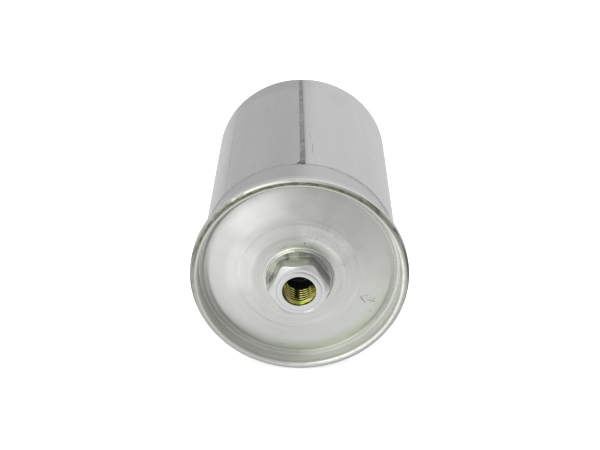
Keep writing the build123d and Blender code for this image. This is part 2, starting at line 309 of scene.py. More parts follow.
def bandMask(group, given):
    # 1 between From and To, with soft edges
    softness = given["Softness"]
    pastLow, pastHigh = (
        ramp(group, given["Value"], minus(group, at, softness), plus(group, at, softness))
        for at in (given["From"], given["To"])
    )
    return {"Mask": times(group, pastLow, minus(group, 1.0, pastHigh))}


def satinGrain(group, given):
    # soft clouds and a fine sprayed grain, for coated steel
    clouds = noise(group, given["Place"], maths(group, "DIVIDE", 1.0, given["Cloud Size"]), 4.0, 0.55, 0.6)
    grain = noise(group, given["Place"], maths(group, "DIVIDE", 1.0, given["Grain Size"]), 2.0, 0.6)
    cloudPart = times(group, minus(group, clouds, 0.5), given["Cloud Depth"])
    grainPart = times(group, minus(group, grain, 0.5), given["Grain Depth"])
    return {"Tone": plus(group, 1.0, cloudPart, grainPart), "Height": grain, "Cloud": clouds}


def rollingStreaks(group, given):
    # fine lines that run along the body, as rolled or drawn sheet has
    scale = combine(group, given["Across"], given["Along"], 1.0)
    fine = noise(group, stretch(group, given["Wall"], scale), 1.0, 5.0, 0.7)
    tone = plus(group, 1.0, times(group, minus(group, fine, 0.5), given["Depth"]))
    return {"Tone": tone, "Height": fine}


def hairScratches(group, given):
    # sparse hairlines in one direction: each lies where the stretched noise crosses one level
    drawnOut, level, sharpness = (0.06, 0.5, 2.6), 0.64, 30.0
    turned = put(group, "ShaderNodeVectorRotate", {
        "Vector": given["Place"], "Axis": (0, 1, 0), "Angle": given["Turn"],
    }, rotation_type="AXIS_ANGLE").outputs[0]
    lines = noise(group, stretch(group, turned, drawnOut), maths(group, "DIVIDE", 3.0, given["Spacing"]))
    away = maths(group, "ABSOLUTE", minus(group, lines, level))
    ridge = maths(group, "SUBTRACT", 1.0, times(group, sharpness, away), clamp=True)
    where = ramp(group, noise(group, turned, 0.12, 1.0), 0.52, 0.62)
    return {"Mask": times(group, ridge, where, given["Amount"])}


def specks(group, given):
    # scattered small dark marks
    cells = put(group, "ShaderNodeTexVoronoi", {
        "Vector": given["Place"], "Scale": maths(group, "DIVIDE", 1.0, given["Spacing"]), "Randomness": 1.0,
    })
    away = times(group, cells.outputs["Distance"], given["Spacing"])
    dot = maths(group, "SUBTRACT", 1.0, maths(group, "DIVIDE", away, given["Size"]), clamp=True)
    lucky = put(group, "ShaderNodeSeparateColor", {0: cells.outputs["Color"]}).outputs[0]
    return {"Mask": times(group, dot, maths(group, "LESS_THAN", lucky, given["Share"]))}


def smudge(group, given):
    # one soft mark at a given angle and station or radius; the sizes are half widths in mm
    around = times(group, minus(group, given["Angle"], given["At Angle"]), given["Radius"])
    across = maths(group, "DIVIDE", around, given["Half Width"])
    along = maths(group, "DIVIDE", minus(group, given["Along"], given["At Along"]), given["Half Length"])
    squares = plus(group, times(group, across, across), times(group, along, along))
    return {"Mask": ramp(group, squares, 0.0, 1.0, 1.0, 0.0)}


def towardMask(group, given):
    # 1 on the side that faces Turn (in degrees), fading to 0 where the cosine falls from To to From
    turn = maths(group, "RADIANS", given["Turn"])
    cosine = maths(group, "COSINE", minus(group, given["Angle"], turn))
    return {"Mask": ramp(group, cosine, given["From"], given["To"])}


def socketKind(label):
    return "NodeSocketVector" if label in ("Place", "Wall") else "NodeSocketFloat"


def makeGroup(build, inputs):
    # inputs are labels with their usual values; build gives the outputs by label
    group = bpy.data.node_groups.new(build.__name__, "ShaderNodeTree")
    for label, value in inputs.items():
        socket = group.interface.new_socket(label, in_out="INPUT", socket_type=socketKind(label))
        if value is not None:
            socket.default_value = value
    results = build(group, group.nodes.new("NodeGroupInput").outputs)
    for label in results:
        group.interface.new_socket(label, in_out="OUTPUT", socket_type=socketKind(label))
    out = group.nodes.new("NodeGroupOutput")
    for label, value in results.items():
        group.links.new(value, out.inputs[label])
    return group


groups = {build.__name__: makeGroup(build, inputs) for build, inputs in (
    (axisPlace, {}),
    (bandMask, {"Value": 0.0, "From": 0.0, "To": 1.0, "Softness": 0.1}),
    (satinGrain, {
        "Place": None, "Cloud Size": 9.0, "Grain Size": 0.35, "Cloud Depth": 0.08, "Grain Depth": 0.05,
    }),
    (rollingStreaks, {"Wall": None, "Across": 2.2, "Along": 0.02, "Depth": 0.08}),
    (hairScratches, {"Place": None, "Turn": 0.6, "Spacing": 3.0, "Amount": 0.3}),
    (specks, {"Place": None, "Spacing": 4.0, "Size": 0.18, "Share": 0.3}),
    (smudge, {
        "Angle": 0.0, "Along": 0.0, "Radius": 30.0, "At Angle": 0.0, "At Along": 0.0,
        "Half Width": 0.3, "Half Length": 0.3,
    }),
    (towardMask, {"Angle": 0.0, "Turn": 0.0, "From": 0.0, "To": 0.9}),
)}


def useGroup(tree, name, inputs=None):
    return put(tree, "ShaderNodeGroup", inputs, node_tree=groups[name]).outputs


def band(tree, value, low, high, softness):
    return useGroup(tree, "bandMask", {"Value": value, "From": low, "To": high, "Softness": softness})["Mask"]


def facing(tree, place, turn, start, full):
    # turn in degrees; start and full are cosines
    return useGroup(tree, "towardMask", {
        "Angle": place["Angle"], "Turn": turn, "From": start, "To": full,
    })["Mask"]


def softSpot(tree, place, along, turn, at, halfWidth, halfLength):
    return useGroup(tree, "smudge", {
        "Angle": place["Angle"], "Along": along, "Radius": place["Radius"], "At Angle": math.radians(turn),
        "At Along": at, "Half Width": halfWidth, "Half Length": halfLength,
    })["Mask"]


def softMarks(tree, place, along, rows):
    # each row is an angle in degrees, a place along, half width, half length and depth
    return [times(tree, softSpot(tree, place, along, *spot), depth) for *spot, depth in rows]


def sprayed(tree, place, row):
    size, depth, grainSize, grainDepth = row
    return useGroup(tree, "satinGrain", {
        "Place": place["Place"], "Cloud Size": size, "Cloud Depth": depth,
        "Grain Size": grainSize, "Grain Depth": grainDepth,
    })


def dotted(tree, place, row):
    spacing, size, share = row
    return useGroup(tree, "specks", {
        "Place": place["Place"], "Spacing": spacing, "Size": size, "Share": share,
    })["Mask"]


# finishes

def newFinish(name, metallic=0.0):
    material = bpy.data.materials.new(name)
    material.use_nodes = True
    tree = material.node_tree
    shader = tree.nodes["Principled BSDF"]
    shader.inputs["Metallic"].default_value = metallic
    return material, tree, shader


def grey(level, tint=(1, 1, 1)):
    return (level * tint[0], level * tint[1], level * tint[2], 1)


def tinted(tree, base, *tones):
    # base colour times each tone
    made = put(tree, "ShaderNodeVectorMath", {"Scale": times(tree, *tones)}, operation="SCALE")
    feed(tree, made.inputs[0], base if isinstance(base, bpy.types.NodeSocket) else base[:3])
    return made.outputs[0]


def bump(tree, shader, height, distance):
    made = put(tree, "ShaderNodeBump", {"Height": height, "Distance": distance, "Strength": 1.0})
    feed(tree, shader.inputs["Normal"], made.outputs[0])


coat = {
    "grain": (0.35, 0.10),              # size and depth
    "dots": (7.0, 0.35, 0.12),          # spacing, size and share
    "markDepth": 0.55, "scratchGloss": 0.2, "relief": 0.006,
    "glossSpread": (-0.04, 0.05),
}


def coatedSteel(name, spec, clouds=0.10, cloudSize=9.0, scratches=0.25):
    material, tree, shader = newFinish(name, metallic=1.0)
    place = useGroup(tree, "axisPlace")
    grain = sprayed(tree, place, (cloudSize, clouds, *coat["grain"]))
    hair = useGroup(tree, "hairScratches", {"Place": place["Place"], "Amount": scratches})["Mask"]
    dots = dotted(tree, place, coat["dots"])
    marked = minus(tree, 1.0, times(tree, largest(tree, hair, dots), coat["markDepth"]))
    colour = tinted(tree, grey(spec["level"], spec["tint"]), grain["Tone"], marked)
    feed(tree, shader.inputs["Base Color"], colour)
    smoothest, roughest = (spec["roughness"] + k for k in coat["glossSpread"])
    rough = ramp(tree, grain["Cloud"], 0.3, 0.7, smoothest, roughest)
    feed(tree, shader.inputs["Roughness"], plus(tree, rough, times(tree, hair, coat["scratchGloss"])))
    bump(tree, shader, grain["Height"], coat["relief"] * mm)
    return material, tree, shader, place


def plainFinish(name, dark, light, roughness, metallic=0.0, size=1.2, depth=0.02):
    # one colour broken up by clouds and grain, for the parts inside and the small seals
    material, tree, shader = newFinish(name, metallic=metallic)
    place = useGroup(tree, "axisPlace")
    grain = sprayed(tree, place, (8 * size, 0.08, 0.3 * size, 0.12))
    blend = ramp(tree, grain["Cloud"], 0.3, 0.7)
    colour = tinted(tree, mixColour(tree, blend, (*dark, 1), (*light, 1)), grain["Tone"])
    feed(tree, shader.inputs["Base Color"], colour)
    rough = ramp(tree, grain["Height"], 0.3, 0.7, roughness - 0.05, roughness + 0.05)
    feed(tree, shader.inputs["Roughness"], rough)
    bump(tree, shader, grain["Height"], depth * mm)
    return material


def finish(piece, material, slotName, *replaced):
    piece.data.materials.clear()
    piece.data.materials.append(material)
    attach(piece, "root")
    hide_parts(*replaced)
    return piece


# outlet cover

cover = {
    "sheet": 0.5,
    "corners": [
        (12.6, -0.6), (12.45, 0.85), (17.0, 0.95), (21.5, 1.6), (22.3, 1.85), (29.0, 3.15),
        (33.2, 4.2), (35.3, 4.95), (36.0, 5.85), (37.2, 5.85), (37.2, 0.0),
        (40.0, 0.0), (40.0, 4.6), (38.36, 4.6), (38.36, 1.75),
    ],
    "bends": [1.2, 4.0, 1.0, 1.0, 30.0, 6.0, 0.7, 0.4, 0.4, 0.9, 1.3, 0.9, 0.6],
    "steps": [0.3, 0.5, 0.25, 0.25, 0.16, 0.16, 0.3, 0.3, 0.3, 0.35, 0.3, 0.35, 0.4, 0.6],
    "arrowAngle": -21.5, "arrowDepth": 0.2, "arrowBead": 0.03, "arrowHalfWindow": 5.5,
    "arrow": [(23.9, 0), (27.0, 1.8), (27.0, 0.55), (30.4, 0.55), (30.4, -0.55), (27.0, -0.55), (27.0, -1.8)],
    "dishWave": 0.05, "lipWave": 0.22,
    "level": 0.66, "tint": (0.985, 1.0, 0.955), "roughness": 0.36,
    "wornRing": (38.3, 39.45, 0.22), "wornDepth": (-1.0, 0.9, 0.35), "wornEdge": (39.2, 39.6),
    "wornAndDarkReflectionSide": (105, -0.2, 0.8), "wornLeast": 0.32, "wornRoughness": 0.46,
    "oliveDark": (0.075, 0.074, 0.050, 1), "oliveLight": (0.33, 0.325, 0.235, 1),
    "crazeStretch": (9.0, 2.4, 1.2), "crazeHeight": 18.0,
    "highlightColour": (0.97, 0.97, 0.94, 1), "dirtAndShade": (0.07, 0.08, 0.06, 1), "greenTint": (0.96, 1.0, 0.90, 1),
    "highlightGloss": 0.08, "strokeStretch": (24.0, 0.22),
    "ringPitch": 0.75, "ringDepth": 0.06, "ringDepthAtStep": 0.26, "stepRings": (14.0, 24.5, 1.5),
    # how far back the painted highlights and painted shade go: two stations and the strengths there, or from,
    # to and softness of a band
    "nearFront": (0.4, 1.6, 1.0, 0.0), "browStops": (1.6, 2.8, 0.5, 0.0),
    "footStops": (2.4, 5.4, 0.8), "topStops": (0.9, 1.4, 0.3),
    # scale, detail and roughness of a noise, its low and high end, and the strengths they give
    "clouds": {
        "worn": (0.35, 3.0, 0.5, 0.3, 0.62, 0.85, 1.0),
        "edge": (0.07, 3.0, 0.5, 0.45, 0.55, 0.12, 0.85),
        "uneven": (0.5, 3.0, 0.5, 0.32, 0.55, 0.45, 1.0),
        "strokes": (1.6, 4.0, 0.7, 0.36, 0.64, 0.35, 0.85),
    },
    # painted highlights, darkening and tints: from, to and softness of its ring in mm, the side it faces in
    # degrees, the cosines where it starts and where it is full, and its strength
    # painted highlights, every row; the row round the collar's upper right also carries real scuff streaks
    "paintedHighlights": {
        "lip": (11.8, 12.95, 0.15, 140, -0.2, 0.7, 0.8),
        "crest": (37.2, 38.4, 0.25, -35, 0.0, 0.9, 0.8),
        "grooveLow": (34.2, 35.9, 0.45, -100, -0.2, 0.5, 1.0),
        "grooveRight": (35.0, 36.5, 0.3, 5, 0.3, 0.85, 1.0),
        "scuffsAndSheen": (15.8, 22.6, 0.9, 58, 0.80, 0.97, 1.0),
        "sheenUpperLeft": (25.0, 33.4, 1.6, 121, 0.88, 0.985, 0.42),
        "sheenLeft": (17.5, 27.0, 1.2, 170, 0.86, 0.98, 0.22),
        "brow": (39.5, 41.0, 0.2, 85, 0.3, 0.9, 1.0),
        "wallFoot": (36.5, 37.6, 0.15, -70, -0.3, 0.8, 0.35),
    },
    # darkening: wallTop and grooveLeft are painted shade in the groove; collar, step and dish darken a ring
    # on one side; edge darkens and speckles the bottom of the rim's outer edge
    "darkening": {
        "collar": (12.9, 13.9, 0.7, 64, 0.75, 0.97, 0.22),
        "step": (21.7, 22.4, 0.35, 112, 0.5, 0.9, 0.20),
        "dish": (15.6, 17.8, 0.8, 115, 0.7, 0.95, 0.15),
        "wallTop": (36.7, 37.6, 0.1, -100, -0.2, 0.7, 0.25),
        "edge": (39.2, 45.0, 0.3, -108, 0.0, 0.8, 1.0),
        "grooveLeft": (36.3, 36.9, 0.25, 180, 0.5, 0.95, 0.38),
    },
    # greenish tints; the one round the collar is a painted reflection of something green
    "tints": {
        "dishRim": (29.5, 35.6, 1.2, -55, 0.3, 0.95, 0.9),
        "collar": (12.7, 14.6, 0.6, 85, 0.6, 0.95, 0.9),
    },
    # angle in degrees, radius, half width, half length, depth; the long mark at 9 degrees on the rim's outer
    # edge is a painted dark reflection
    "marks": [
        (82, 14.7, 0.45, 0.4, 0.85), (70, 17.6, 0.3, 0.3, 0.5), (19, 17.1, 0.35, 0.3, 0.75),
        (21, 16.4, 0.25, 0.25, 0.5), (133, 33.0, 0.3, 1.2, 0.12), (9, 39.5, 11.0, 0.55, 0.75),
        (96, 12.4, 0.5, 0.3, 0.5), (-31, 30.6, 0.7, 0.7, 0.18), (-104, 31.5, 2.6, 0.4, 0.22),
    ],
}


def coverFinish(spec):
    # silver coat with the rim's crest rubbed through to an olive, crazed layer
    material, tree, shader, place = coatedSteel("coverSilver", spec)
    silver, silverRough = (shader.inputs[k].links[0].from_socket for k in ("Base Color", "Roughness"))
    radius, station, angle = place["Radius"], place["Station"], place["Angle"]

    def stretched(name, *axes):
        return combine(tree, *(times(tree, axis, scale) for axis, scale in zip(axes, spec[name])))

    def cloudy(name, vector=place["Place"]):
        scale, detail, roughness, *span = spec["clouds"][name]
        return ramp(tree, noise(tree, vector, scale, detail, roughness), *span)

    def ringRows(kind, limits):
        # every row of one kind, each held within its own limits
        rows = []
        for name, (low, high, softness, turn, start, full, strength) in spec[kind].items():
            ring = band(tree, radius, low, high, softness)
            side = facing(tree, place, turn, start, full)
            rows.append(times(tree, ring, side, strength, *limits.get(name, ())))
        return rows

    # where the coat is worn through
    craze = noise(tree, stretched("crazeStretch", angle, radius, station), 1.2, 6.0, 0.8)
    # the olive wear is real; making it stronger toward the top is a painted dark reflection
    side = facing(tree, place, *spec["wornAndDarkReflectionSide"])
    share = plus(tree, spec["wornLeast"], times(tree, side, 1 - spec["wornLeast"]))
    crown = times(tree, band(tree, radius, *spec["wornRing"]), cloudy("worn"), share)
    edge = times(tree, ramp(tree, radius, *spec["wornEdge"]), cloudy("edge"))
    worn = times(tree, largest(tree, crown, edge), band(tree, station, *spec["wornDepth"]))
    olive = mixColour(tree, ramp(tree, craze, 0.42, 0.60), spec["oliveDark"], spec["oliveLight"])

    # painted highlights, each brightening its ring on one side; the row round the collar's upper right also
    # has real scuff streaks
    patchy = ramp(tree, station, *spec["nearFront"]), cloudy("uneven")
    strokes = cloudy("strokes", stretched("strokeStretch", angle, radius))
    paintedHighlight = largest(tree, *ringRows("paintedHighlights", {
        "lip": patchy, "crest": patchy, "scuffsAndSheen": [strokes],
        "brow": [ramp(tree, station, *spec["browStops"])],
        "wallFoot": [band(tree, station, *spec["footStops"])],
    }))
    bright = mixColour(tree, paintedHighlight, silver, spec["highlightColour"])

    # darker rings and marks, with painted shade in the groove and a painted dark reflection on the rim's
    # right side, then greenish tints, the one round the collar a painted reflection
    lines = ringRows("darkening", {
        "wallTop": [band(tree, station, *spec["topStops"])],
        "edge": [ramp(tree, craze, 0.40, 0.56, 0.1, 0.5)],
    })
    dirtAndShade = largest(tree, *lines, *softMarks(tree, place, radius, spec["marks"]))
    soiledAndShaded = mixColour(tree, dirtAndShade, bright, spec["dirtAndShade"])
    soiledAndShaded = mixColour(tree, largest(tree, *ringRows("tints", {})), soiledAndShaded, spec["greenTint"], "MULTIPLY")

    # faint rings round the collar: painted light and shade standing in for fine concentric ridges
    cosine, sine = (maths(tree, way, angle) for way in ("COSINE", "SINE"))
    rings = noise(tree, combine(tree, times(tree, radius, spec["ringPitch"]), cosine, sine), 1.0, 3.0, 0.6)
    rings = minus(tree, rings, 0.5)
    atStep = times(tree, band(tree, radius, *spec["stepRings"]), spec["ringDepthAtStep"])
    soiledAndShaded = tinted(tree, soiledAndShaded, plus(tree, 1.0, times(tree, rings, plus(tree, spec["ringDepth"], atStep))))

    feed(tree, shader.inputs["Base Color"], mixColour(tree, worn, soiledAndShaded, olive))
    smoother = minus(tree, silverRough, times(tree, paintedHighlight, spec["highlightGloss"]))
    feed(tree, shader.inputs["Roughness"], mixValue(tree, worn, smoother, spec["wornRoughness"]))
    height = shader.inputs["Normal"].links[0].from_node.inputs["Height"]
    grain = height.links[0].from_socket
    feed(tree, height, plus(tree, grain, times(tree, craze, worn, spec["crazeHeight"])))
    return material


def makeCover(spec):
    path = roundedPath(spec["corners"], spec["bends"], spec["steps"], arcStep=0.13)
    loop = sheetLoop(path, spec["sheet"], 1, backEvery=3)
    arrowTurn = math.radians(spec["arrowAngle"])
    halfWindow = math.radians(spec["arrowHalfWindow"])  # the mesh is finer here
    coarse = np.arange(0, 2 * math.pi - 2 * halfWindow, math.radians(1.5)) + arrowTurn + halfWindow
    fineAngles = np.linspace(arrowTurn - halfWindow, arrowTurn + halfWindow, 84)[1:-1]
    angles = np.concatenate([coarse, fineAngles + 2 * math.pi])

    def warp(radius, station, angle):
        onDish = smooth(radius, 14.0, 19.0) * (1 - smooth(radius, 33.6, 35.2)) * (station < 6)
        dish = ripples(angle, radius, 5, (1, 6), (14, 40)) * spec["dishWave"]
        onLip = (1 - smooth(station, -0.5, 1.0)) * (radius < 14)
        lip = ripples(angle, radius * 0, 8, (2, 11), (30, 60), 9)
        turned = angle - arrowTurn
        away = shapeDistance(radius * np.cos(turned), radius * np.sin(turned), spec["arrow"])
        here = (radius > 20) * (np.cos(turned) > 0)
        pressed = (1 - smooth(away, -0.18, 0.16)) * here * spec["arrowDepth"]
        raised = np.exp(-((away - 0.32) / 0.22) ** 2) * here * spec["arrowBead"]
        station = station + onDish * dish + np.clip(onLip * lip * spec["lipWave"], 0, 0.3)
        station = station + onDish * (pressed - raised)
        return radius, station

    piece = turnedMesh("outletCover", loop, angles, warp)
    return finish(piece, coverFinish(spec), "cover_steel", "outlet_cover")


makeCover(cover)
print("outlet cover made")


# can

can = {
    "sheet": 0.6,
    "corners": [
        (39.48, 3.4), (39.48, 0.75), (37.72, 0.75), (37.72, 6.4), (35.8, 9.9), (35.8, 108.0), (27.6, 108.0),
        (25.6, 109.2), (12.0, 109.2), (12.0, 111.2),
    ],
    "bends": [0.8, 0.8, 3.0, 3.0, 2.2, 1.2, 1.8, 1.2],
    "steps": [0.5, 0.5, 0.8, 0.8, 1.2, 0.5, 0.4, 0.6, 0.4],
    "wallWave": 0.012, "floorWave": 0.03,
    "level": 0.585, "tint": (1.0, 1.0, 1.0), "roughness": 0.30,
}


def makeCan(spec):
    path = roundedPath(spec["corners"], spec["bends"], spec["steps"], arcStep=0.25)
    loop = sheetLoop(path, spec["sheet"], -1)

    def warp(radius, station, angle):
        onWall = smooth(station, 9, 12) * (1 - smooth(station, 104, 106))
        onFloor = smooth(station, 107.0, 107.6) * (radius < 33)
        wall = ripples(angle, station, 11, (2, 7), (30, 90)) * spec["wallWave"]
        floor = ripples(angle, radius, 12, (1, 5), (14, 40)) * spec["floorWave"]
        return radius + onWall * wall, station + onFloor * floor

    piece = turnedMesh("canBody", loop, evenAngles(240), warp)
    material = coatedSteel("canSilver", spec, clouds=0.07, scratches=0.2)[0]
    return finish(piece, material, "can_steel", "canister")


makeCan(can)
print("can made")


# rolled sleeve and the line between its edges

sleeve = {
    "inner": 36.4, "outer": 36.8, "start": 21.5, "end": 106.3,
    "seamNear": 1.2, "seamFar": -0.4, "gapNear": 2.0, "gapFar": 1.3,
    "cornerRadius": 1.6, "cornerLift": 0.10, "edgeRound": 0.06, "curl": 0.03,
    "level": 0.62, "tint": (1.0, 0.998, 1.012), "roughness": 0.27, "relief": 0.0003,
    "fineStreaks": (0.9, 0.015, 0.06), "broadStreaks": (0.16, 0.006, 0.13),  # lines across, along, and depth
    "grain": (14.0, 0.08, 0.9, 0.07),   # cloud size and depth, grain size and depth
    "dots": (11.0, 0.4, 0.10), "dotDepth": 0.3, "seamShadow": (-1.1, 0.8, 1.1), "seamShade": 0.27,
    "cutShaded": (0.66, 0.66, 0.67, 1), "cutLit": (0.98, 0.98, 0.98, 1),
    "wave": 0.012, "rightCurl": 0.04, "crowding": 0.16,
    "fillerHeight": 0.35, "fillerGrain": 0.02,
    "fillerDark": (0.20, 0.20, 0.197), "fillerLight": (0.34, 0.34, 0.335),
    # angle in degrees, station, half width, half length, depth
    "marks": [
        (82.5, 35.0, 0.35, 6.5, 0.30), (112, 77.0, 0.8, 1.2, 0.16), (139, 60.0, 1.0, 60.0, 0.14),
        (108, 101.0, 22.0, 7.0, 0.10), (66, 92.0, 6.0, 9.0, 0.05), (84, 47.0, 0.5, 3.0, 0.12),
    ],
}


def sleeveFinish(spec):
    material, tree, shader = newFinish("sleeveSheet", metallic=1.0)
    place = useGroup(tree, "axisPlace")
    fine, broad = (
        useGroup(tree, "rollingStreaks", {
            "Wall": place["Wall"], "Across": across, "Along": along, "Depth": depth,
        }) for across, along, depth in (spec["fineStreaks"], spec["broadStreaks"])
    )
    grain = sprayed(tree, place, spec["grain"])
    dots = times(tree, dotted(tree, place, spec["dots"]), spec["dotDepth"])
    # the sheet turns down toward the seam, so its left edge darkens
    share = maths(tree, "DIVIDE", minus(tree, place["Station"], spec["start"]), spec["end"] - spec["start"])
    centre = plus(tree, spec["seamNear"], times(tree, share, spec["seamFar"] - spec["seamNear"]))
    across = times(tree, minus(tree, math.pi / 2, place["Angle"]), spec["outer"])
    beside = times(tree, band(tree, minus(tree, across, centre), *spec["seamShadow"]), spec["seamShade"])
    dark = largest(tree, dots, beside, *softMarks(tree, place, place["Station"], spec["marks"]))
    tones = fine["Tone"], broad["Tone"], grain["Tone"], minus(tree, 1.0, dark)
    colour = tinted(tree, grey(spec["level"], spec["tint"]), *tones)
    cutEdge = ramp(tree, place["Station"], spec["start"] + 0.02, spec["start"] + 0.12, 1.0, 0.0)
    cut = mixColour(tree, facing(tree, place, 20.0, 0.1, 0.6), spec["cutShaded"], spec["cutLit"])
    feed(tree, shader.inputs["Base Color"], mixColour(tree, cutEdge, colour, cut))
    rough = ramp(tree, grain["Cloud"], 0.3, 0.7, spec["roughness"] - 0.02, spec["roughness"] + 0.03)
    feed(tree, shader.inputs["Roughness"], plus(tree, rough, times(tree, cutEdge, 0.35)))
    height = plus(tree, fine["Height"], times(tree, grain["Height"], 0.8))
    bump(tree, shader, height, spec["relief"] * mm)
    return material


def seamEdge(spec, station, side):
    # angle of the sleeve's edge at a station; side is 1 for the right sheet and -1 for the left
    t = (station - spec["start"]) / (spec["end"] - spec["start"])
    centre = spec["seamNear"] + (spec["seamFar"] - spec["seamNear"]) * t
    gap = spec["gapNear"] + (spec["gapFar"] - spec["gapNear"]) * t
    return math.pi / 2 - (centre + side * gap / 2) / spec["outer"]


def makeSleeve(spec):
    rowCount, acrossCount = 96, 330
    t = np.linspace(0, 1, rowCount)
    # the sheet runs from its left edge, down the left side and back up the right side
    u = np.linspace(0, 1, acrossCount)
    u = u - spec["crowding"] * np.sin(2 * math.pi * u) / (2 * math.pi)
    length = spec["end"] - spec["start"]
    edgeRound = spec["edgeRound"]
    ring = []
    for k in range(rowCount):
        station = spec["start"] + length * t[k] + np.zeros(acrossCount)
        left = seamEdge(spec, station, -1)
        right = seamEdge(spec, station, 1) + 2 * math.pi
        angle = left + (right - left) * u
        fromLeft = (angle - left) * spec["outer"]
        corner = np.clip(spec["cornerRadius"] - fromLeft, 0, spec["cornerRadius"])
        cut = spec["cornerRadius"] - np.sqrt(np.maximum(spec["cornerRadius"] ** 2 - corner ** 2, 0))
        station = station + cut * (1 - t[k]) ** 6
        near = station - spec["start"]
        fromRight = (right - angle) * spec["outer"]
        lift = spec["cornerLift"] * np.exp(-fromLeft / 3.0) * np.exp(-near / 6.0)
        lift += spec["rightCurl"] * np.exp(-fromRight / 1.2) + spec["curl"] * np.exp(-fromLeft / 1.1)
        lift += spec["wave"] * ripples(angle, near, 21, (2, 9), (25, 80))
        lift += 0.01
        ring.append((angle, station, lift))
    # one closed outline per row: outer face out, inner face back
    rows = []
    for k, (angle, station, lift) in enumerate(ring):
        ends = edgeRound if k in (0, rowCount - 1) else 0.0
        outer = spec["outer"] - 0.03 + lift - ends
        inner = spec["inner"] - 0.02 + np.maximum(lift - 0.03, 0) * 0.9
        outer[[0, -1]] -= edgeRound
        inner[[0, -1]] += edgeRound
        rows.append((
            np.concatenate([outer, inner[::-1]]), np.concatenate([station, station[::-1]]),
            np.concatenate([angle, angle[::-1]]),
        ))
    radius, station, angle = (np.array([row[k] for row in rows]) for k in range(3))
    piece = tubeMesh("rolledSleeve", radius, station, angle)
    return finish(piece, sleeveFinish(spec), "sleeve_sheet", "outer_sleeve")


def makeSeamFiller(spec):
    # grainy dark adhesive between the sleeve's edges; its dark colour also stands in for the shadow in the
    # gap
    rowCount, acrossCount = 500, 9
    tuck = 0.03 / spec["outer"]         # it reaches this far under each edge
    t = np.linspace(0.002, 0.998, rowCount)
    station = spec["start"] + (spec["end"] - spec["start"]) * t
    left = seamEdge(spec, station, -1) - tuck
    right = seamEdge(spec, station, 1) + tuck
    u = np.linspace(0, 1, acrossCount)
    angle = left[:, None] + (right - left)[:, None] * u[None, :]
    stations = np.repeat(station[:, None], acrossCount, 1)
    draw = np.random.default_rng(4)
    rough = draw.normal(0, 1, (rowCount, acrossCount))
    rough = (rough + np.roll(rough, 1, 0) + np.roll(rough, -1, 0)) / 3
    top = spec["inner"] + spec["fillerHeight"] - 0.06 * u[None, :] + spec["fillerGrain"] * rough
    bottom = np.full_like(top, spec["inner"] + 0.005)
    radius = np.concatenate([top, bottom[:, ::-1]], 1)
    piece = tubeMesh("seamFillerAndShadow", radius, np.concatenate([stations, stations[:, ::-1]], 1),
                     np.concatenate([angle, angle[:, ::-1]], 1))
    material = plainFinish("seamFillerAndShadow", spec["fillerDark"], spec["fillerLight"], 0.45,
                           metallic=0.8, size=0.5, depth=0.02)
    return finish(piece, material, "seam_filler", "sleeve_seam_filler")


makeSleeve(sleeve)
makeSeamFiller(sleeve)
print("sleeve made")


# ports: hexagon bosses and threaded inserts
# depths are measured inward from the port's face; inward is +1 at the outlet and -1 at the inlet

outletPort = {
    "prefix": "outlet", "face": outletFace, "inward": 1, "hex": 20.1, "turn": 3.5, "cornerRound": 3.0,
    "land": 9.2, "insert": 8.05, "proud": 0.15, "shoulder": 7.5, "neck": 12.0, "flangeFront": 10.8,
    "flange": 15.5, "flangeBack": 12.8, "tail": 8.9, "tailEnd": 23.2, "insertEnd": 15.2, "passage": 4.2,
    "mouth": 6.05, "mouthDepth": 1.0, "minor": 5.188, "major": 6.02, "pitch": 1.5,
}
inletPort = {
    "prefix": "inlet", "face": axisMiddle * 2 - outletFace, "inward": -1, "hex": 22.0, "turn": 3.5,
    "cornerRound": 3.0, "land": 10.4, "insert": 9.3, "proud": 0.15, "shoulder": 12.2, "neck": 12.0,
    "flangeFront": 16.0, "flange": 15.5, "flangeBack": 18.4, "tail": 10.4, "tailEnd": 20.2, "insertEnd": 16.4,
    "passage": 5.0, "mouth": 7.1, "mouthDepth": 1.0, "minor": 6.188, "major": 7.02, "pitch": 1.5,
}
portFinish = {
    "level": 0.70, "tint": (0.995, 1.0, 1.0), "roughness": 0.30,
    "stainDark": (0.33, 0.34, 0.31, 1), "stainLight": (0.58, 0.61, 0.52, 1),
    "bare": (0.36, 0.36, 0.365, 1), "bareSide": (35.0, 0.55, 0.9), "bareShare": 0.8,
    "topFlatLighter": (95, 3.9, 5.2, 3.6), "topFlatShare": 0.8,     # angle in degrees, depth, half width, half length
    "paintedHighlight": (0.97, 0.97, 0.97, 1), "landHighlight": (-66, 0.1, 2.6, 0.55),  # angle, mm inside the land, half sizes
}


def hexRadius(spec, angle):
    # distance to a hexagon with rounded corners
    half, rounding = spec["hex"] / 2, spec["cornerRound"]
    side = (angle - math.radians(spec["turn"]) - math.pi / 6) % (math.pi / 3)
    fromFlat = np.where(side > math.pi / 6, side - math.pi / 3, side)
    flat = half / np.cos(fromFlat)
    fromCorner = math.pi / 6 - np.abs(fromFlat)
    reach = (half - rounding) / math.cos(math.pi / 6)
    tangentAt = math.atan2((half - rounding) * math.tan(math.pi / 6), half)
    offAxis = reach * np.sin(fromCorner)
    arc = reach * np.cos(fromCorner) + np.sqrt(np.maximum(rounding ** 2 - offAxis ** 2, 0))
    return np.where(np.abs(fromFlat) > tangentAt, arc, flat)


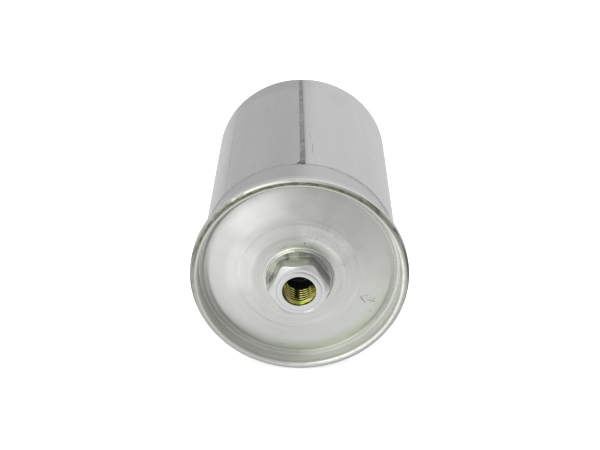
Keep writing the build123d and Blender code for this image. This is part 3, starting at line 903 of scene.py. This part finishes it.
def makeBoss(spec, material):
    start, neck, shoulder = spec["proud"], spec["neck"], spec["shoulder"]
    angles = []
    for flat in range(6):
        middle = math.radians(spec["turn"] + 30 + 60 * flat)
        across = np.linspace(-1, 1, 49)[:-1]
        angles.append(middle + np.sign(across) * np.abs(across) ** 0.8 * math.pi / 6)
    angles = np.sort(np.concatenate(angles) % (2 * math.pi))
    slope = math.tan(math.radians(30))
    columns = []
    for angle in angles:
        hexagon = float(hexRadius(spec, angle))
        corners = [
            (spec["insert"], spec["insertEnd"]), (spec["insert"], start), (spec["land"], start),
            (hexagon, start + (hexagon - spec["land"]) * slope), (hexagon, shoulder),
        ]
        if spec["hex"] / 2 / math.cos(math.pi / 6) > neck:
            corners += [(neck - 0.02, shoulder + 0.02)]
        else:
            corners += [(max(neck, hexagon + 0.3) - 0.35, shoulder + 0.05), (neck + 0.08, shoulder + 0.08)]
        corners += [
            (neck - 0.02, spec["flangeFront"]), (spec["flange"], spec["flangeFront"]),
            (spec["flange"], spec["flangeBack"]), (spec["tail"], spec["flangeBack"]),
            (spec["tail"], spec["tailEnd"]), (spec["passage"], spec["tailEnd"]),
            (spec["passage"], spec["insertEnd"]),
        ]
        columns.append(fixedPath(corners))
    columns = np.array(columns)
    station = spec["face"] + spec["inward"] * columns[:, :, 1]
    angle = np.repeat(angles[:, None], columns.shape[1], 1)
    piece = gridMesh(spec["prefix"] + "Boss", columns[:, :, 0], station, angle)
    return finish(piece, material, "fitting_steel", spec["prefix"] + "_fitting")


def fixedPath(corners):
    # like roundedPath, but with the same number of points for any corner positions
    corners = [np.array(c, float) for c in corners]
    rounding = [0.05, 0.25, 0.4, 0.3, 0.02, 0.02] + [0.12] * (len(corners) - 8)
    path = [corners[0]]
    for i in range(1, len(corners) - 1):
        before, after = corners[i] - corners[i - 1], corners[i + 1] - corners[i]
        lengths = np.linalg.norm(before), np.linalg.norm(after)
        before, after = before / lengths[0], after / lengths[1]
        reach = min(rounding[min(i - 1, len(rounding) - 1)], 0.4 * lengths[0], 0.4 * lengths[1])
        a, b = corners[i] - before * reach, corners[i] + after * reach
        origin = path[-1]
        runPoints = 6 if i in (2, 3, 4) else 2
        path += [origin + (a - origin) * k / runPoints for k in range(1, runPoints + 1)]
        for k in range(1, 5):
            t = k / 4
            path.append((1 - t) ** 2 * a + 2 * t * (1 - t) * corners[i] + t * t * b)
    path += [path[-1] + (corners[-1] - path[-1]) * k / 2 for k in (1, 2)]
    return np.array(path)


def threadRadius(spec, angle, depth):
    # right-handed internal thread with flat crests and roots, widened by the mouth's cone
    handed = spec["inward"]
    turns = (depth + handed * spec["pitch"] * angle / (2 * math.pi)) / spec["pitch"]
    phase = turns % 1.0
    crest, flank, root = 0.25, 0.3125, 0.125
    height = np.interp(phase, [0, crest, crest + flank, crest + flank + root, 1.0], [0, 0, 1, 1, 0])
    height = height * height * (3 - 2 * height) * 0.35 + height * 0.65
    thread = spec["minor"] + (spec["major"] - spec["minor"]) * height
    cone = np.clip(spec["mouth"] - (depth - spec["mouthDepth"]), 0, spec["mouth"])
    edge = np.where(depth < 0.12, spec["mouth"] + 0.12 - depth, 0)
    runOut = smooth(depth, spec["insertEnd"] - 1.6, spec["insertEnd"] - 0.6)
    thread = thread + (spec["minor"] - thread) * runOut
    return np.maximum(np.maximum(thread, cone), edge)


def makeThread(spec, material):
    angles = evenAngles(168)
    rowsPerPitch = 14
    threadLength = spec["insertEnd"] - spec["mouthDepth"]
    rowCount = round(threadLength / spec["pitch"] * rowsPerPitch)
    depths = np.concatenate([
        [0.0, 0.04, 0.08, 0.12, 0.3, 0.6, 0.85],
        spec["mouthDepth"] + np.linspace(0, 1, rowCount) * threadLength,
    ])
    outer = spec["insert"] - 0.03
    outline = np.array([
        (outer, spec["insertEnd"]), (outer, 8.0), (outer, 0.16), (outer - 0.05, 0.05), (outer - 0.16, 0.0),
        ((outer + spec["mouth"]) / 2, 0.0), (spec["mouth"] + 0.18, 0.0),
    ])
    outlineRadius, outlineDepth = (np.repeat(outline[None, :, k], len(angles), 0) for k in (0, 1))
    angle = np.repeat(angles[:, None], len(depths), 1)
    depth = np.repeat(depths[None, :], len(angles), 0)
    radius = np.concatenate([outlineRadius, threadRadius(spec, angle, depth)], 1)
    depth = np.concatenate([outlineDepth, depth], 1)
    angle = np.repeat(angles[:, None], radius.shape[1], 1)
    piece = gridMesh(spec["prefix"] + "Thread", radius, spec["face"] + spec["inward"] * depth, angle)
    return finish(piece, material, "yellow_zinc", spec["prefix"] + "_thread_insert")


chromate = {
    "green": (0.36, 0.45, 0.09, 1), "greenAt": 0.34, "gold": (0.60, 0.60, 0.15, 1), "goldAt": 0.48,
    "rose": (0.64, 0.52, 0.24, 1), "roseAt": 0.66, "roughness": 0.13,
    # the first dark colour is painted shade and a painted dark reflection; the near-black one is painted
    # shade deep in the bore
    "darkening": (0.030, 0.026, 0.006, 1), "rootShade": 0.85, "boreShade": (0.004, 0.004, 0.004, 1),
    "boreShadeFrom": 9.7, "boreShadeTo": 10.4,
    # side in degrees, and the cosines where it starts and is full; then depths and the strengths there
    "streakSide": (-100.0, 0.968, 0.998), "streakDepth": (1.4, 4.5, 0.0, 0.96),
    "shadedSide": (170.0, 0.3, 0.85), "shadedDepth": (1.7, 2.1, 0.88, 0.3),
}


def depthFrom(tree, place, port):
    # mm inward from the port's face
    return times(tree, minus(tree, place["Station"], port["face"]), port["inward"])


def chromatedFinish(port, look, spec):
    # the port's silver face outside, yellow chromated zinc inside
    material, tree, shader = newFinish(port["prefix"] + "Chromate", metallic=1.0)
    place = useGroup(tree, "axisPlace")
    grain = sprayed(tree, place, (6.0, 0.08, 0.35, 0.05))
    tints = noise(tree, place["Place"], 0.13, 2.0, 0.5, 0.4)
    hues = put(tree, "ShaderNodeValToRGB", {"Fac": tints})
    hues.color_ramp.elements.new(spec["goldAt"])
    for stop, hue in zip(hues.color_ramp.elements, ("green", "gold", "rose")):
        stop.position = spec[hue + "At"]
        stop.color = spec[hue]
    gold = tinted(tree, hues.outputs[0], grain["Tone"])
    silver = tinted(tree, grey(look["level"], look["tint"]), grain["Tone"])
    depth = depthFrom(tree, place, port)
    atFace = ramp(tree, maths(tree, "ABSOLUTE", depth), 0.10, 0.22, 1.0, 0.0)
    onFace = times(tree, atFace, ramp(tree, place["Radius"], port["mouth"] + 0.02, port["mouth"] + 0.12))
    # painted shade: deep in the bore the colour goes near black, matt and not metallic
    boreShade = ramp(tree, depth, spec["boreShadeFrom"], spec["boreShadeTo"])
    # painted shade in the thread's roots, and a painted dark reflection low on the left
    root = times(tree, ramp(tree, place["Radius"], port["minor"] + 0.04, port["minor"] + 0.34),
                 ramp(tree, depth, port["mouthDepth"] + 0.5, port["mouthDepth"] + 1.0), spec["rootShade"])
    streak, shaded = (
        times(tree, facing(tree, place, *spec[name + "Side"]), ramp(tree, depth, *spec[name + "Depth"]))
        for name in ("streak", "shaded")
    )
    gold = mixColour(tree, largest(tree, root, streak, shaded), gold, spec["darkening"])
    withBoreShade = mixColour(tree, boreShade, gold, spec["boreShade"])
    feed(tree, shader.inputs["Base Color"], mixColour(tree, onFace, withBoreShade, silver))
    rough = mixValue(tree, onFace, spec["roughness"], look["roughness"])
    uneven = times(tree, minus(tree, grain["Cloud"], 0.5), 0.08)
    feed(tree, shader.inputs["Roughness"], plus(tree, rough, uneven, times(tree, boreShade, 0.6)))
    feed(tree, shader.inputs["Metallic"], minus(tree, 1.0, boreShade))
    bump(tree, shader, grain["Height"], 0.006 * mm)
    return material


def bossFinish(port, look):
    # the coat is thinner and stained on the hexagon's flats
    material, tree, shader, place = coatedSteel(
        port["prefix"] + "Silver", look, clouds=0.10, cloudSize=4.0, scratches=0.15)
    silver = shader.inputs["Base Color"].links[0].from_socket
    radius = place["Radius"]
    depth = depthFrom(tree, place, port)
    chamfer = times(tree, minus(tree, radius, port["land"]), math.tan(math.radians(30)))
    past = ramp(tree, minus(tree, depth, plus(tree, port["proud"], chamfer)), 0.05, 0.5)
    onFlat = times(tree, past, ramp(tree, radius, port["land"] + 0.3, port["land"] + 0.6))
    stain = ramp(tree, noise(tree, place["Place"], 0.26, 2.0, 0.5, 0.5), 0.38, 0.62)
    stained = mixColour(tree, stain, look["stainDark"], look["stainLight"])
    # painted dark reflection: the flats that face right are darker
    bare = times(tree, facing(tree, place, *look["bareSide"]), look["bareShare"])
    stained = mixColour(tree, bare, stained, look["bare"])
    # lighter toward the top flat
    top = ramp(tree, softSpot(tree, place, depth, *look["topFlatLighter"]), 0.0, 0.5)
    stained = mixColour(tree, times(tree, top, look["topFlatShare"]), stained, look["stainLight"])
    # painted highlight on the land, low on the right
    turn, inside, halfWidth, halfLength = look["landHighlight"]
    landHighlight = softSpot(tree, place, radius, turn, port["land"] - inside, halfWidth, halfLength)
    silver = mixColour(tree, landHighlight, silver, look["paintedHighlight"])
    feed(tree, shader.inputs["Base Color"], mixColour(tree, onFlat, silver, stained))
    return material


for port in (outletPort, inletPort):
    makeBoss(port, bossFinish(port, portFinish))
    makeThread(port, chromatedFinish(port, portFinish, chromate))
print("ports made")


# parts inside: their modelled shapes, each with its own finish

def finishInside():
    metal = {"metallic": 1.0, "depth": 0.01}
    rubber = {"roughness": 0.6, "depth": 0.02}
    # each finish: its name, its dark and light colour, then gloss, grain and the nodes that have it
    finishes = [
        ("filterPaper", (0.46, 0.33, 0.15), (0.60, 0.46, 0.24),
         {"roughness": 0.85, "size": 0.8, "depth": 0.05}, ["pleated_paper"]),
        ("plastisol", (0.10, 0.10, 0.09), (0.15, 0.15, 0.13), {"roughness": 0.5, "depth": 0.03},
         ["outlet_cap_potting", "inlet_cap_potting"]),
        ("naturalNylon", (0.60, 0.58, 0.50), (0.70, 0.68, 0.60), {"roughness": 0.42, "depth": 0.01},
         ["strainer_cage"]),
        ("nylonGauze", (0.55, 0.55, 0.50), (0.72, 0.72, 0.68), {"roughness": 0.7, "size": 0.3, "depth": 0.06},
         ["strainer_gauze"]),
        ("tinplate", (0.52, 0.52, 0.50), (0.64, 0.64, 0.62), {"roughness": 0.32, **metal},
         ["centre_tube", "paper_seam_clip", "element_outlet_cap", "element_inlet_cap"]),
        ("oiledSteel", (0.30, 0.30, 0.30), (0.44, 0.44, 0.43), {"roughness": 0.4, **metal},
         ["support_plate", "spring_seat"]),
        ("springWire", (0.16, 0.15, 0.15), (0.28, 0.27, 0.26), {"roughness": 0.35, **metal},
         ["element_spring"]),
        ("sealRubber", (0.010, 0.010, 0.010), (0.022, 0.022, 0.022), rubber,
         ["outlet_grommet", "outlet_fitting_seal", "inlet_fitting_seal"]),
        ("seamCompound", (0.03, 0.034, 0.03), (0.05, 0.055, 0.05), rubber,
         ["seam_compound"]),
    ]
    for name, dark, light, kind, nodes in finishes:
        material = plainFinish(name, dark, light, **kind)
        for node in nodes:
            part = nodesByName[node]
            if not part.material_slots:
                part.data.materials.append(material)
            for holder in part.material_slots:
                holder.material = material


finishInside()
print("inside parts finished")


# floor, light and camera

floorPaper = {
    "tilt": 1.76, "size": 8.0, "clearance": 0.02,
    "rimBottom": (2.3, -40.0),  # the station and height that the floor touches
    "Base Color": (0.93, 0.93, 0.93, 1), "Roughness": 0.8, "Specular IOR Level": 0.1,
    "Emission Color": (1, 1, 1, 1), "Emission Strength": 0.5,
}


def makeFloor(spec):
    # the filter rests on its rim and on the sleeve's far edge, so the floor rises slightly toward the far end
    mesh = bpy.data.meshes.new("floor")
    half = spec["size"] / 2
    corners = [(-half, -half, 0), (half, -half, 0), (half, half, 0), (-half, half, 0)]
    mesh.from_pydata(corners, [], [(0, 1, 2, 3)])
    floor = addObject("floor", mesh)
    station, height = spec["rimBottom"]
    floor.location = (0, (station - axisMiddle) * mm, (height - spec["clearance"]) * mm)
    floor.rotation_euler = (math.radians(spec["tilt"]), 0, 0)
    material, _, shader = newFinish("floorPaper")
    for label in ("Base Color", "Roughness", "Specular IOR Level", "Emission Color", "Emission Strength"):
        shader.inputs[label].default_value = spec[label]
    mesh.materials.append(material)
    floor.visible_glossy = False


# what polished steel sees: each card has a front azimuth range (0 toward the camera, positive to the
# right), an elevation range, a softness in degrees and how much it adds to the plain level
studio = {
    "plain": 0.80, "room": 1.05, "wholeTurn": 170,
    "cards": {
        "floor": (-180, 180, -90, -26, 8, 0.20),
        "floor shaded by the filter": (-180, 180, -90, -56, 8, -0.10),
        "floor shaded on the left": (-178, -2, -90, -52, 8, -0.12),
        "window light, front left": (-52, -10, -30, 62, 8, 0.34),
        "the window's brightest part": (-46, -10, 30, 58, 6, 0.80),
        "camera and its operator": (-3, 26, -24, 50, 7, -0.30),
        "left side of the room": (-142, -54, -22, 18, 8, -0.20),
        "window light above it": (-145, -50, 27, 70, 8, 0.60),
        "dark side of the room, right": (46, 140, -34, 90, 8, -0.42),
        "back wall, darker on the left": (-182, -140, -9, 60, 5, -0.21),
        "back wall, right": (-215, -186, -9, 60, 5, 0.02),
    },
}


def makeWorld(spec):
    world = bpy.data.worlds.new("studio")
    scene.world = world
    world.use_nodes = True
    tree = world.node_tree
    background = tree.nodes["Background"]
    way = put(tree, "ShaderNodeTexCoord").outputs["Generated"]
    x, y, z = put(tree, "ShaderNodeSeparateXYZ", {0: way}).outputs
    azimuth = maths(tree, "DEGREES", maths(tree, "ARCTAN2", x, times(tree, y, -1.0)))
    elevation = maths(tree, "DEGREES", maths(tree, "ARCSINE", z))
    level = spec["plain"]
    for fromTurn, toTurn, low, high, softness, gain in spec["cards"].values():
        middle, half = (fromTurn + toTurn) / 2, (toTurn - fromTurn) / 2
        rising = ramp(tree, elevation, low - softness, low + softness)
        card = times(tree, rising, ramp(tree, elevation, high - softness, high + softness, 1.0, 0.0))
        if half < spec["wholeTurn"]:
            turned = maths(tree, "ABSOLUTE", minus(tree, azimuth, middle))
            around = maths(tree, "MINIMUM", turned, minus(tree, 360.0, turned))
            card = times(tree, card, ramp(tree, around, half - softness, half + softness, 1.0, 0.0))
        level = plus(tree, level, times(tree, card, gain))
    path = put(tree, "ShaderNodeLightPath")
    seen = mixValue(tree, path.outputs["Is Glossy Ray"], spec["room"], level)
    feed(tree, background.inputs["Strength"], seen)
    background.inputs["Color"].default_value = (1, 1, 1, 1)


topBox = {"place": (0.0, 0.05, 0.85), "aim": (0, 0, 0), "size": (0.9, 0.7), "watts": 4.5}


def makeLamp(name, spec):
    data = bpy.data.lights.new(name, "AREA")
    data.shape = "RECTANGLE"
    data.size, data.size_y = spec["size"]
    data.energy = spec["watts"]
    lamp = addObject(name, data)
    lamp.location = spec["place"]
    lamp.rotation_euler = (Vector(spec["aim"]) - Vector(spec["place"])).to_track_quat("-Z", "Y").to_euler()
    lamp.visible_glossy = False


cameraSet = {
    "lens": 64.55, "sensor": 36,
    "right": 4.87, "station": -334.0, "height": 204.6,   # mm
    "turns": [("Z", 0.776), ("X", 90 - 28.58), ("Z", -0.371)],
}


def makeCamera(spec):
    data = bpy.data.cameras.new("camera")
    data.sensor_width = spec["sensor"]
    data.lens = spec["lens"]
    data.clip_start, data.clip_end = 0.01, 50
    camera = addObject("camera", data)
    place = Vector((spec["right"], spec["station"] - axisMiddle, spec["height"])) * mm
    turned = Matrix.Identity(4)
    for axis, degrees in spec["turns"]:
        turned = turned @ Matrix.Rotation(math.radians(degrees), 4, axis)
    camera.matrix_world = Matrix.Translation(place) @ turned
    scene.camera = camera


makeFloor(floorPaper)
makeWorld(studio)
makeLamp("topBox", topBox)
makeCamera(cameraSet)
scene.view_settings.view_transform = "Standard"
print("studio made")
